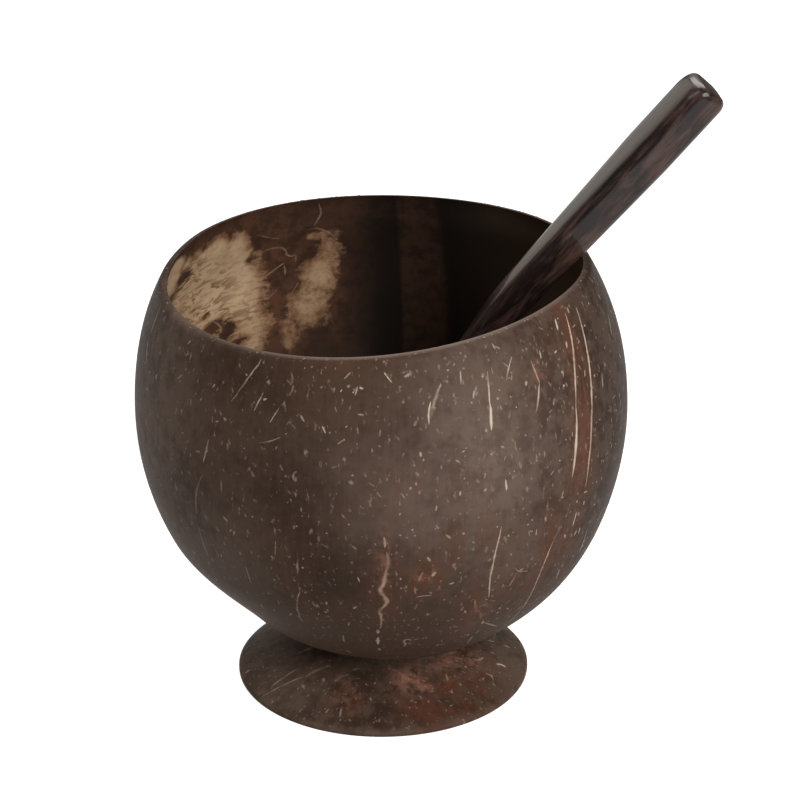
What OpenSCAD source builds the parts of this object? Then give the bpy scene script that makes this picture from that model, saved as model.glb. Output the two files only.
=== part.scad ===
// Cup made of a coconut shell glued to a foot cut from a second shell, with a wooden spoon leaning in it.
// Millimetres, +Z up. The origin is the middle of the foot's resting face. The spoon leans towards +X.

/* [Bowl] */
// Outside diameter of the nut at its widest place
bowl_d = 110; // [90:1:130]
// Height from the widest place down to the nut's lower pole
belly_h = 59; // [50:0.5:70]
// Height from the widest place up to the nut's upper pole, which is cut away
crown_h = 58; // [50:0.5:70]
// How square the nut's shoulder is, where 2 makes an ellipse
shoulder_power = 2.16; // [1.8:0.02:2.6]
// Height of the rim above the widest place
rim_h = 32; // [20:0.5:40]
// Shell thickness at the widest place
side_t = 2.5; // [2:0.1:4]
// Shell thickness at the lower pole
floor_t = 4; // [3:0.1:7]
// Radius of the rim's rounded edges
rim_round = 0.8; // [0.2:0.1:0.8]
// Angle by which the bowl leans on its foot, towards -X
bowl_lean = 1.7; // [0:0.1:5]

/* [Foot] */
// Diameter of the foot at its resting edge
foot_d = 67; // [55:1:85]
// Height of the cap's crown before its seat is cut
foot_rise = 10.6; // [9:0.2:16]
// Height of the upright edge round the foot
foot_edge_h = 1.2; // [0.8:0.1:2]
// Radius that breaks the foot's lower edge
foot_edge_round = 0.5; // [0.2:0.1:0.7]
// Shell thickness of the foot
foot_t = 3.2; // [2.5:0.1:5]
// Diameter of the flat seats where bowl and foot meet
seat_d = 25; // [16:1:30]

/* [Glue] */
// Thickness of the glue between the two seats
glue_t = 0.3; // [0.1:0.05:0.8]
// How far the glue fills the groove outside the seats
bead_w = 2.5; // [1:0.1:5]

/* [Spoon] */
// Length from the handle's end to the tip
spoon_l = 154.5; // [130:0.5:180]
// Width of the handle at the grip
handle_w = 13.2; // [8:0.2:18]
// Thickness of the handle at the grip
handle_t = 9; // [6:0.2:12]
// Length of the parallel grip before the taper
grip_l = 20; // [5:1:40]
// Length of the handle's rounded end
end_l = 5; // [2:0.5:12]
// How far the handle's rounded end is drawn in all round
end_draw = 2.3; // [0.5:0.1:2.8]
// How square the handle's section is, where 2 makes an ellipse
handle_power = 4.5; // [2:0.1:6]
// Width of the neck
neck_w = 4; // [3:0.2:8]
// Thickness of the neck
neck_t = 7.4; // [5:0.2:9]
// Length over which the handle's top dips before the neck
dip_l = 28; // [10:1:40]
// Length of the solid neck before the hollow starts
neck_l = 10; // [6:1:25]
// Length of the ladle with its neck, back from the tip
ladle_l = 66; // [55:1:80]
// Length of the ladle's nose, from its widest place to the tip
nose_l = 25; // [18:1:30]
// Width of the ladle
ladle_w = 34; // [24:1:44]
// Depth of the ladle's hollow
ladle_depth = 8; // [4:0.5:12]
// Wall under the hollow
ladle_t = 2.5; // [1.5:0.1:4]
// Width of the lip round the hollow
lip_w = 1.8; // [1:0.1:3]
// Slope of the spoon, up from the plane of the bowl's mouth
spoon_tilt = 46.4; // [40:0.2:56]
// Turn of the spoon round the bowl, from +X towards +Y
spoon_turn = 7; // [-30:1:30]
// Clearance where the spoon rests on the rim and against the shell
rest_gap = 0.3; // [0.1:0.05:0.6]

/* [Hidden] */

$fn = 360;

// Points along each half of the nut's outline, and round each edge of the rim
belly_steps = 20;
crown_steps = 9;
rim_steps = 4;

// Sections along the handle's end, its shank, its neck and its nose, and points round half a section
end_steps = 5;
shank_steps = 10;
neck_steps = 12;
nose_steps = 10;
half_steps = 12;
// Angle round the nose at which the last section lies, before the tip's point
nose_sweep = 84;
// Angle above the edge of a section where its lip begins
lip_angle = 4;

bowl_r = bowl_d / 2;
foot_r = foot_d / 2;
seat_r = seat_d / 2;
bead_r = seat_r + bead_w;

// The foot's cap is part of a sphere through its crown and the top of its upright edge
cap_h = foot_rise - foot_edge_h;
cap_r = (foot_r * foot_r + cap_h * cap_h) / (2 * cap_h);
cap_z = foot_rise - cap_r;
function cap_top(r) = cap_z + sqrt(cap_r * cap_r - r * r);

// The bowl's seat lies a glue film above the foot's, and its widest place follows from the seat's size
foot_seat_z = cap_top(seat_r);
bowl_seat_z = foot_seat_z + glue_t;
function belly_z(r) = -belly_h * sqrt(1 - pow(r / bowl_r, 2));
bowl_z = bowl_seat_z - belly_z(seat_r);

// Half outline of a nut, from its lower pole up to a cut at the given height above its widest place
function nut_r(z, r, top_h) = r * pow(1 - pow(z / top_h, shoulder_power), 1 / shoulder_power);
function nut_outline(r, low_h, top_h, cut_h) = concat(
    [for (i = [0 : belly_steps - 1]) let (a = 90 * i / belly_steps) [r * sin(a), -low_h * cos(a)]],
    [for (i = [0 : crown_steps]) let (z = cut_h * i / crown_steps) [nut_r(z, r, top_h), z]]
);

// Rounding of the corner c between its neighbours a and b
function unit(v) = v / norm(v);
function half_angle(a, c, b) = acos(unit(a - c) * unit(b - c)) / 2;
function corner_centre(a, c, b, r) = c + unit(unit(a - c) + unit(b - c)) * r / sin(half_angle(a, c, b));
function heading(v) = atan2(v[1], v[0]);
function round_corner(a, c, b, r) = let (
    o = corner_centre(a, c, b, r),
    reach = r / tan(half_angle(a, c, b)),
    from = heading(c + unit(a - c) * reach - o),
    to = heading(c + unit(b - c) * reach - o),
    sweep = (to - from + 540) % 360 - 180
) [for (i = [0 : rim_steps]) let (t = from + sweep * i / rim_steps) o + r * [cos(t), sin(t)]];

function reversed(list) = [for (i = [len(list) - 1 : -1 : 0]) list[i]];
function all_but_last(list) = [for (i = [0 : len(list) - 2]) list[i]];
function last(list, back) = list[len(list) - 1 - back];

inner_r = bowl_r - side_t;
inner_belly_h = belly_h - floor_t;
outer_line = nut_outline(bowl_r, belly_h, crown_h, rim_h);
inner_line = nut_outline(inner_r, inner_belly_h, crown_h - side_t, rim_h);
outer_edge = last(outer_line, 0);
inner_edge = last(inner_line, 0);
shell_outline = concat(
    all_but_last(outer_line),
    round_corner(last(outer_line, 1), outer_edge, inner_edge, rim_round),
    round_corner(outer_edge, inner_edge, last(inner_line, 1), rim_round),
    reversed(all_but_last(inner_line))
);

// Places its children, drawn about the nut's widest place, on the leaning bowl
module on_bowl() {
    translate([0, 0, bowl_z])
        rotate([0, -bowl_lean, 0])
            children();
}

// Space under the bowl's seat, which is sanded away level with the table
module under_seat() {
    translate([0, 0, bowl_seat_z - belly_h])
        cylinder(h = belly_h, r = bowl_r);
}

module bowl_shell() {
    color("#4b3d33")
        difference() {
            on_bowl()
                rotate_extrude()
                    polygon(shell_outline);
            under_seat();
        }
}

// Half section of the foot's cap without its hollow, up to its seat
module cap_half() {
    intersection() {
        translate([0, cap_z])
            circle(r = cap_r);
        square([foot_r, foot_seat_z]);
    }
}

// What is taken off a square corner at the origin, facing +X and -Y, to round it
module corner_waste(r) {
    difference() {
        translate([-r, 0])
            square(r);
        translate([-r, r])
            circle(r = r);
    }
}

module foot_shell() {
    color("#46382f")
        rotate_extrude()
            difference() {
                cap_half();
                translate([0, cap_z])
                    circle(r = cap_r - foot_t);
                translate([foot_r, 0])
                    corner_waste(foot_edge_round);
            }
}

// Half section of the glue, up into the bowl, with a hollow round face where it meets the air
bead_low = cap_top(bead_r);
bead_gap = bowl_z + belly_z(bead_r) - bead_low;
module glue_half() {
    difference() {
        translate([0, bead_low - bead_gap])
            square([bead_r + bead_gap / 2, 2 * bead_gap + floor_t]);
        cap_half();
        translate([bead_r + bead_gap, bead_low + bead_gap / 2])
            circle(r = bead_gap);
    }
}

module glue_bond() {
    color("#2b221d")
        difference() {
            rotate_extrude()
                glue_half();
            difference() {
                on_bowl()
                    rotate_extrude()
                        polygon(concat(outer_line, [[0, rim_h]]));
                under_seat();
            }
        }
}

// The spoon lies along +X from its handle's end at the origin, with its lip in the XY plane and its hollow up
neck_x = spoon_l - ladle_l;
widest_x = spoon_l - nose_l;
function mix(a, b, t) = a + (b - a) * t;
function clamp(t) = min(1, max(0, t));
function ease(t) = let (c = clamp(t)) c * c * (3 - 2 * c);
// Rises from 0 at one place to 1 at another, and falls to 0 at a third as the nose of an ellipse does
function swell(x, from, mid, to) = x < mid
    ? ease((x - from) / (mid - from))
    : sqrt(max(0, 1 - pow((x - mid) / (to - mid), 2)));
function into_ladle(x) = ease((x - neck_x) / (widest_x - neck_x));
function taper(x) = clamp((x - grip_l) / (neck_x - grip_l));
function end_inset(x) = x < end_l ? end_draw * (1 - sqrt(1 - pow(1 - x / end_l, 2))) : 0;
function handle_half(x, grip, neck) = mix(grip, neck, taper(x)) / 2 - end_inset(x);
function dip(x) = ease((x - neck_x + dip_l) / (dip_l + neck_l));
function half_w(x) = norm([
    handle_half(x, handle_w, neck_w) * (1 - into_ladle(x)),
    ladle_w / 2 * swell(x, neck_x, widest_x, spoon_l)
]);
function top_h(x) = handle_half(x, handle_t, neck_t) * (1 - dip(x))
    - ladle_depth * swell(x, neck_x + neck_l, widest_x, spoon_l - lip_w);
function keel_h(x) = norm([
    handle_half(x, handle_t, neck_t) * (1 - into_ladle(x)),
    (ladle_depth + ladle_t) * swell(x, neck_x, widest_x, spoon_l)
]);
function hollow_w(x) = let (w = half_w(x)) max(w / 2, w - lip_w * into_ladle(x));
function squareness(x) = 2 / mix(handle_power, 2, into_ladle(x));

// One section of the spoon: the underside from +Y to -Y, the lip, the top and the lip again
function curve(a, w, h, p) = [w * sign(cos(a)) * pow(abs(cos(a)), p), h * pow(abs(sin(a)), p)];
function section(x) = let (
    p = squareness(x),
    w = hollow_w(x),
    lip_z = max(0, top_h(x)),
    under = [for (i = [0 : half_steps]) curve(180 * i / half_steps, half_w(x), -keel_h(x), p)],
    top = [for (i = [half_steps - 1 : -1 : 1]) curve(180 * i / half_steps, w, top_h(x), p)],
    lips = [for (a = [180 - lip_angle, lip_angle]) curve(a, w, lip_z, p)]
) [for (q = concat(under, [lips[0]], top, [lips[1]])) [x, q[0], q[1]]];

stations = concat(
    [for (i = [0 : end_steps]) end_l * (1 - cos(90 * i / end_steps))],
    [grip_l],
    [for (i = [1 : shank_steps]) mix(grip_l, neck_x, i / shank_steps)],
    [for (i = [1 : neck_steps]) mix(neck_x, widest_x, i / neck_steps)],
    [for (i = [1 : nose_steps]) widest_x + nose_l * sin(nose_sweep * i / nose_steps)]
);
spoon_rings = [for (x = stations) section(x)];

// Where the spoon comes to rest in the upright plane through the bowl's axis, as [distance from it, height]
down_spoon = [-cos(spoon_tilt), -sin(spoon_tilt)];
up_spoon = [-sin(spoon_tilt), cos(spoon_tilt)];
rim_nose = corner_centre(outer_edge, inner_edge, last(inner_line, 1), rim_round);
// The handle's end, when the place that lies over the rim is the given length from it
function handle_end(over_rim) = rim_nose
    + up_spoon * (keel_h(over_rim) + rim_round + rest_gap)
    - down_spoon * over_rim;
// How far the ladle can still go down along the spoon before it meets the shell's inside
function to_bowl(p, end) = let (q = end + down_spoon * p[0] + up_spoon * p[2]) [q[0], p[1], q[1]];
function shell_scaled(v) = [v[0] / inner_r, v[1] / inner_r, v[2] / inner_belly_h];
function way_to_shell(p, end) = let (
    q = shell_scaled(to_bowl(p, end)),
    d = shell_scaled([down_spoon[0], 0, down_spoon[1]])
) (-q * d + sqrt(pow(q * d, 2) - d * d * (q * q - 1))) / (d * d);
function way_left(over_rim) = min([
    for (ring = spoon_rings) if (ring[0][0] > neck_x)
        for (p = ring) way_to_shell(p, handle_end(over_rim))
]);
function settle(over_rim) = over_rim - way_left(over_rim) + rest_gap;
// A first guess has half the spoon over the rim, and each pass lets it down to where it rests
over_rim = settle(settle(settle(spoon_l / 2)));
spoon_end = handle_end(over_rim);

ring_points = len(spoon_rings[0]);
tip_index = len(spoon_rings) * ring_points;
function ring_index(ring, i) = ring * ring_points + i % ring_points;
spoon_points = concat([for (ring = spoon_rings) each ring], [[spoon_l, 0, 0]]);
spoon_faces = concat(
    [[for (i = [ring_points - 1 : -1 : 0]) i]],
    [
        for (k = [0 : len(spoon_rings) - 2])
            for (i = [0 : ring_points - 1])
                each [
                    [ring_index(k, i), ring_index(k + 1, i + 1), ring_index(k + 1, i)],
                    [ring_index(k, i), ring_index(k, i + 1), ring_index(k + 1, i + 1)]
                ]
    ],
    [
        for (i = [0 : ring_points - 1])
            [ring_index(len(spoon_rings) - 1, i), ring_index(len(spoon_rings) - 1, i + 1), tip_index]
    ]
);

module spoon() {
    color("#3b2622")
        on_bowl()
            rotate([0, 0, spoon_turn])
                translate([spoon_end[0], 0, spoon_end[1]])
                    rotate([0, spoon_tilt, 180])
                        polyhedron(spoon_points, spoon_faces);
}

bowl_shell();
foot_shell();
glue_bond();
spoon();
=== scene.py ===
import math
import random

import bpy
import numpy as np
from mathutils import Matrix, Vector


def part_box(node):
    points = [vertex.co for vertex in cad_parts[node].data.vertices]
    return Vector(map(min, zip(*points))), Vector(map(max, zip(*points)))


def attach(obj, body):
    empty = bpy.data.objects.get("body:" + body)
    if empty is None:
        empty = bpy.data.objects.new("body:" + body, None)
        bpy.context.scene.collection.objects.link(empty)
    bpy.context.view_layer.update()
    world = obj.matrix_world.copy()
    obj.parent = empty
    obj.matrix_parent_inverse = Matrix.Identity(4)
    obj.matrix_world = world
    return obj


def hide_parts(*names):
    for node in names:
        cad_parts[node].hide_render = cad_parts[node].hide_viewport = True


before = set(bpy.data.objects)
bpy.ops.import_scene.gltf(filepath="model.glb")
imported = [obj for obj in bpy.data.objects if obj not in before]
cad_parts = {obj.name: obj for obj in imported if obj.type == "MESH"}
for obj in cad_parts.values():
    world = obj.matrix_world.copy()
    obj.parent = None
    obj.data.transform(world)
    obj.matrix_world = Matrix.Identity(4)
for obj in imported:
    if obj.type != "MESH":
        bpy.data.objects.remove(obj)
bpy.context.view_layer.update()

# Lengths below are in millimetres and angles in degrees. Meshes are made in metres.
MM = 0.001

# Bowl: a nut round its widest place, leaning a little on its foot
BOWL_R = 55
BELLY_H = 59
CROWN_H = 58
SHOULDER_POWER = 2.16
RIM_H = 32
SIDE_T = 2.5
FLOOR_T = 4
RIM_OUTER_ROUND = 0.6
RIM_INNER_ROUND = 0.4
RIM_THIN = 1.2
RIM_THIN_H = 9
BOWL_LEAN = 1.7
SEAT_R = 12.5
# Outer and inner nut: radius, and heights below and above the widest place
OUTER_NUT = (BOWL_R, BELLY_H, CROWN_H)
INNER_NUT = (BOWL_R - SIDE_T, BELLY_H - FLOOR_T, CROWN_H - SIDE_T)

# Foot: a cap of a sphere with a short upright edge
FOOT_T = 3.2
FOOT_RISE = 10.6
FOOT_EDGE_H = 1.2
FOOT_EDGE_ROUND = 0.5

# Spoon, from its handle's end at 0 to its tip
SPOON_L = 154.5
HANDLE_W = 13.6
HANDLE_T = 9
GRIP_L = 20
END_L = 5
END_DRAW = 2.3
CORNER_L = 2.4
CORNER_DRAW = 1.3
HANDLE_POWER = 3.8
NECK_W = 4
NECK_T = 7.4
DIP_L = 28
NECK_L = 10
LADLE_L = 66
NOSE_L = 25
LADLE_W = 34
LADLE_DEPTH = 8
LADLE_T = 2.5
LIP_W = 1.8
SPOON_TILT = 46.4
SPOON_TURN = 7

# Camera at the photograph's place, for a frame of 800 by 800 pixels
FRAME_PX = 800
FOCAL_PX = 3183.7
SENSOR = 36
CAMERA_RISE = 24.33
CAMERA_ROLL = -0.25
CAMERA_AWAY = 713.3
CAMERA_TARGET = np.array([4.17, 0, 67.59])
CLIP_START = 10
# Where a pixel's ray is searched: from before the target to behind it, and in how many places
RAY_NEAR = 90
RAY_FAR = 110
RAY_COUNT = 1601

SEED = 7
random.seed(SEED)

# What the frame gives: the foot's radius, and the heights of the two seats
foot_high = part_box("foot_shell")[1]
FOOT_R = foot_high.x / MM
FOOT_SEAT_Z = foot_high.z / MM
BOWL_SEAT_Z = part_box("bowl_shell")[0].z / MM
SEAT_DEPTH = BELLY_H * math.sqrt(1 - (SEAT_R / BOWL_R) ** 2)
BOWL_Z = BOWL_SEAT_Z + SEAT_DEPTH


# Camera

def turned(axis, degrees):
    """Rotation about one axis, as a 3 by 3 array."""
    return np.array(Matrix.Rotation(math.radians(degrees), 3, axis))


rise = math.radians(CAMERA_RISE)
roll = math.radians(CAMERA_ROLL)
view_back = np.array([0, -math.cos(rise), math.sin(rise)])
level_right = np.array([1, 0, 0])
level_up = np.cross(view_back, level_right)
view_right = math.cos(roll) * level_right + math.sin(roll) * level_up
view_up = math.cos(roll) * level_up - math.sin(roll) * level_right
camera_at = CAMERA_TARGET + CAMERA_AWAY * view_back


def make_camera():
    data = bpy.data.cameras.new("camera")
    data.sensor_width = SENSOR
    data.lens = FOCAL_PX / FRAME_PX * SENSOR
    data.clip_start = CLIP_START * MM
    camera = bpy.data.objects.new("camera", data)
    bpy.context.scene.collection.objects.link(camera)
    axes = Matrix([view_right, view_up, view_back]).transposed()
    camera.matrix_world = Matrix.Translation(Vector(camera_at * MM)) @ axes.to_4x4()
    bpy.context.scene.camera = camera


def ray(px, py):
    """Direction from the camera through a pixel of the photograph."""
    across = (px - FRAME_PX / 2) / FOCAL_PX
    down = (py - FRAME_PX / 2) / FOCAL_PX
    return across * view_right - down * view_up - view_back


# Surfaces of the bowl and the foot

LEAN = turned("Y", -BOWL_LEAN)


def from_bowl(points):
    return points @ LEAN.T + [0, 0, BOWL_Z]


def to_bowl(points):
    return (points - [0, 0, BOWL_Z]) @ LEAN


def nut_radius(z, r, belly_h, crown_h):
    """Radius of a nut at a height above its widest place."""
    up = np.clip(z / crown_h, 0, 1)
    down = np.clip(-z / belly_h, 0, 1)
    above = r * (1 - up ** SHOULDER_POWER) ** (1 / SHOULDER_POWER)
    below = r * np.sqrt(1 - down ** 2)
    return np.where(z > 0, above, below)


def lobe(angle, middle, spread):
    """1 at an angle round the bowl, falling to 0 on both sides of it."""
    off = (angle - middle + 180) % 360 - 180
    return np.exp(-(off / spread) ** 2)


def ease(t):
    """A smooth step from 0 to 1."""
    t = np.clip(t, 0, 1)
    return t * t * (3 - 2 * t)


# Slow waves of a hand-sanded shell: height, turns round the bowl, wave length up the wall, start
SHELL_WAVES = [
    (0.10, 2, 61, 20),
    (0.06, 3, 37, 130),
    (0.04, 5, 29, 250),
]


def waves(angle, z):
    return sum(
        high * np.sin(np.radians(turns * angle + start)) * np.cos(2 * np.pi * z / length)
        for high, turns, length, start in SHELL_WAVES
    )


# Flatter places low on the bowl's left and front, and a fuller one on its right: angle round the bowl,
# spread, depth, and the heights where each begins, is deepest and ends
FLATS = [
    (210, 42, 1.9, -26, -42.5, -54.5),
    (236, 40, 1.1, -46, -53, -57.3),
    (-33, 40, -0.5, -6, -38, -54.5),
]


def dents(angle, z):
    total = 0
    for middle, spread, depth, top, deepest, low in FLATS:
        along = ease((z - top) / (deepest - top)) * ease((z - low) / (deepest - low))
        total = total - depth * along * lobe(angle, middle, spread)
    return total


# The cut rim's mean height over the solid's, and its waves: turns round the bowl, cosine and sine heights
RIM_LIFT = 0.26
RIM_WAVES = [
    (1, -0.12, -0.11),
    (2, 0.61, -0.48),
]
# The rim dips at the bowl's left and front: depth, where the dip begins and over what angle it falls,
# where it ends and over what angle it rises again
RIM_DIP = 1.9
RIM_DIP_FROM = 145
RIM_DIP_FALL = 40
RIM_DIP_TO = 340
RIM_DIP_RISE = 150
# Angle on both sides of the spoon over which the rim goes back to the solid's
RIM_TRUE_SPREAD = 24


def rim_height(angle):
    """Height of the uneven rim above the widest place. It is true to the solid under the spoon."""
    a = np.radians(angle)
    turn = angle % 360
    uneven = RIM_LIFT + sum(c * np.cos(n * a) + s * np.sin(n * a) for n, c, s in RIM_WAVES)
    dip = RIM_DIP * ease((turn - RIM_DIP_FROM) / RIM_DIP_FALL) * ease((RIM_DIP_TO - turn) / RIM_DIP_RISE)
    return RIM_H + (uneven - dip) * (1 - lobe(angle, SPOON_TURN, RIM_TRUE_SPREAD))


def rim_thinning(z):
    """How much of the wall is scraped away inside near the rim."""
    return RIM_THIN * ease((z - RIM_H) / RIM_THIN_H + 1)


def nut_skin(angle, z, r, belly_h, crown_h, out):
    """Points on a nut in the bowl's frame, moved out along its own direction, and that direction."""
    a = np.radians(angle)
    radius = nut_radius(z, r, belly_h, crown_h)
    tall = np.where(z > 0, crown_h, belly_h)
    slope = np.stack([radius / r ** 2, z / tall ** 2])
    slope_r, slope_z = slope / np.linalg.norm(slope, axis=0)
    direction = np.stack([slope_r * np.cos(a), slope_r * np.sin(a), slope_z], axis=-1)
    points = np.stack([radius * np.cos(a), radius * np.sin(a), z + 0 * a], axis=-1)
    return points + direction * out[..., None], direction


def outside(angle, z):
    """Points on the shell's outside and the way out of it, in the part's frame."""
    points, direction = nut_skin(angle, z, *OUTER_NUT, waves(angle, z) + dents(angle, z))
    return from_bowl(points), direction @ LEAN.T


def inside(angle, z):
    """Points on the shell's inside and the way into the hollow, in the part's frame."""
    out = waves(angle, z) + rim_thinning(z)
    points, direction = nut_skin(angle, z, *INNER_NUT, out)
    return from_bowl(points), -direction @ LEAN.T


def rim_top(angle, share):
    """Points on the rim's level top, from its outer edge at 0 to its inner edge at 1, and the way up."""
    top = rim_height(angle)
    outer = outside(angle, top)[0]
    inner = inside(angle, top)[0]
    up = np.broadcast_to(LEAN[:, 2], outer.shape)
    return outer + (inner - outer) * share[:, None], up


CAP_H = FOOT_RISE - FOOT_EDGE_H
CAP_R = (FOOT_R ** 2 + CAP_H ** 2) / (2 * CAP_H)
CAP_Z = FOOT_RISE - CAP_R


def foot_top(angle, r):
    """Points on the foot's dome and the way out of it."""
    a = np.radians(angle)
    flat = np.stack([r * np.cos(a), r * np.sin(a)], axis=-1)
    high = np.sqrt(CAP_R ** 2 - r ** 2)
    points = np.concatenate([flat, (CAP_Z + high + 0 * a)[..., None]], axis=-1)
    direction = np.concatenate([flat, (high + 0 * a)[..., None]], axis=-1) / CAP_R
    return points, direction


# Where a pixel's ray meets a surface

RAY_STEPS = np.linspace(CAMERA_AWAY - RAY_NEAR, CAMERA_AWAY + RAY_FAR, RAY_COUNT)


def crossing(px, py, beyond, last=False):
    """Point where the ray through a pixel first goes into a form, or last leaves it."""
    points = camera_at + RAY_STEPS[:, None] * ray(px, py)
    side = beyond(points)
    change = (side[:-1] < 0) & (side[1:] >= 0) if last else (side[:-1] >= 0) & (side[1:] < 0)
    hits = np.nonzero(change)[0]
    if not len(hits):
        return None
    k = hits[-1] if last else hits[0]
    part = side[k] / (side[k] - side[k + 1])
    return points[k] + part * (points[k + 1] - points[k])


def beyond_nut(r, belly_h, crown_h):
    def beyond(points):
        p = to_bowl(points)
        return np.hypot(p[:, 0], p[:, 1]) - nut_radius(p[:, 2], r, belly_h, crown_h)
    return beyond


def beyond_foot(points):
    r = np.hypot(points[:, 0], points[:, 1])
    top = CAP_Z + np.sqrt(np.maximum(0, CAP_R ** 2 - r ** 2))
    return np.maximum(r - FOOT_R, points[:, 2] - top)


def angle_and_height(points):
    """Angle round the bowl and height above its widest place."""
    p = to_bowl(points)
    return np.degrees(np.arctan2(p[..., 1], p[..., 0])), p[..., 2]


def outside_at(px, py):
    return angle_and_height(crossing(px, py, beyond_nut(*OUTER_NUT)))


def inside_at(px, py):
    return angle_and_height(crossing(px, py, beyond_nut(*INNER_NUT), last=True))


def foot_at(px, py):
    point = crossing(px, py, beyond_foot)
    return math.degrees(math.atan2(point[1], point[0])), math.hypot(point[0], point[1])


# Meshes

def make_object(name, points, faces, materials, face_slots=None, smooth=True):
    """A mesh object from points in millimetres, with one material index for each face."""
    mesh = bpy.data.meshes.new(name)
    mesh.from_pydata((np.asarray(points) * MM).tolist(), [], faces)
    for material in materials:
        mesh.materials.append(material)
    if face_slots is not None:
        mesh.polygons.foreach_set("material_index", face_slots)
    mesh.polygons.foreach_set("use_smooth", [smooth] * len(mesh.polygons))
    mesh.validate()
    obj = bpy.data.objects.new(name, mesh)
    bpy.context.scene.collection.objects.link(obj)
    return obj


def paint(obj, name, values):
    """A number at each vertex, which the materials read by its name."""
    layer = obj.data.attributes.new(name, "FLOAT", "POINT")
    layer.data.foreach_set("value", np.asarray(values, dtype=np.float32).ravel())


def ring_faces(rows, columns, first=0):
    """Quads between rings of points that close on themselves, facing away from the left of their travel."""
    return [
        (
            first + i * columns + j,
            first + i * columns + (j + 1) % columns,
            first + (i + 1) * columns + (j + 1) % columns,
            first + (i + 1) * columns + j,
        )
        for i in range(rows - 1)
        for j in range(columns)
    ]


def cap_faces(ring_start, columns, pole, flip):
    """Triangles from a ring of points to one point."""
    order = [(ring_start + j, ring_start + (j + 1) % columns, pole) for j in range(columns)]
    return [(b, a, c) for a, b, c in order] if flip else order


# Materials

# Colours are red, green and blue from 0 to 255, as seen on screen.
# Shell tones: dark and light brown, pale skin that also serves for painted light, and red stain
BOWL_TONES = ((52, 39, 31), (76, 60, 50), (112, 95, 85), (92, 59, 45))
FOOT_TONES = ((54, 41, 33), (76, 60, 49), (104, 86, 74), (88, 49, 37))
# Painted shade, low on the bowl and under the rim in front
SHADE_BROWN = (67, 49, 37)
BLUSH = (142, 100, 82)
DUST = (146, 127, 113)
SHELL_PORE = (34, 26, 21)
# Painted highlight along the rim's inner edge
RIM_HIGHLIGHT_TONE = (128, 110, 99)
# A fibre's and a vein's pale and pink
FIBRE_TONES = ((212, 194, 175), (158, 110, 88))
VEIN_TONES = ((166, 138, 116), (132, 94, 76))
# Bare shell inside, and the husk skin that is left on it
INSIDE_DARK = (36, 27, 22)
INSIDE_LIGHT = (52, 39, 31)
# Painted shade on the far inside wall, and painted light on the inside front wall
INSIDE_PAINTED_SHADE = (25, 21, 18)
INSIDE_PAINTED_LIGHT = (84, 69, 57)
INSIDE_WARM = (92, 62, 46)
HUSK_BROWN = (112, 80, 57)
HUSK_TAN = (140, 107, 80)
HUSK_CREAM = (196, 167, 133)
HUSK_BUFF = (172, 141, 109)
HUSK_STROKE = (108, 77, 49)
# Spoon, its handle's end, glue and stage
WOOD_DARK = (26, 19, 17)
WOOD_LIGHT = (76, 55, 49)
WOOD_PORE = (20, 13, 12)
END_DARK = (18, 12, 10)
END_LIGHT = (52, 36, 27)
GLUE_DARK = (54, 41, 33)
GLUE_LIGHT = (78, 60, 49)
FLOOR_GREY = (170, 170, 170)
WHITE = (255, 255, 255)


def rgb(red, green, blue):
    """A colour as it is seen on screen, as the linear colour that a shader takes."""
    def linear(byte):
        c = byte / 255
        return c / 12.92 if c <= 0.04045 else ((c + 0.055) / 1.055) ** 2.4
    return (linear(red), linear(green), linear(blue), 1)


NOISE_INPUTS = ("Vector", "Scale", "Detail", "Roughness", "Distortion")


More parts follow.
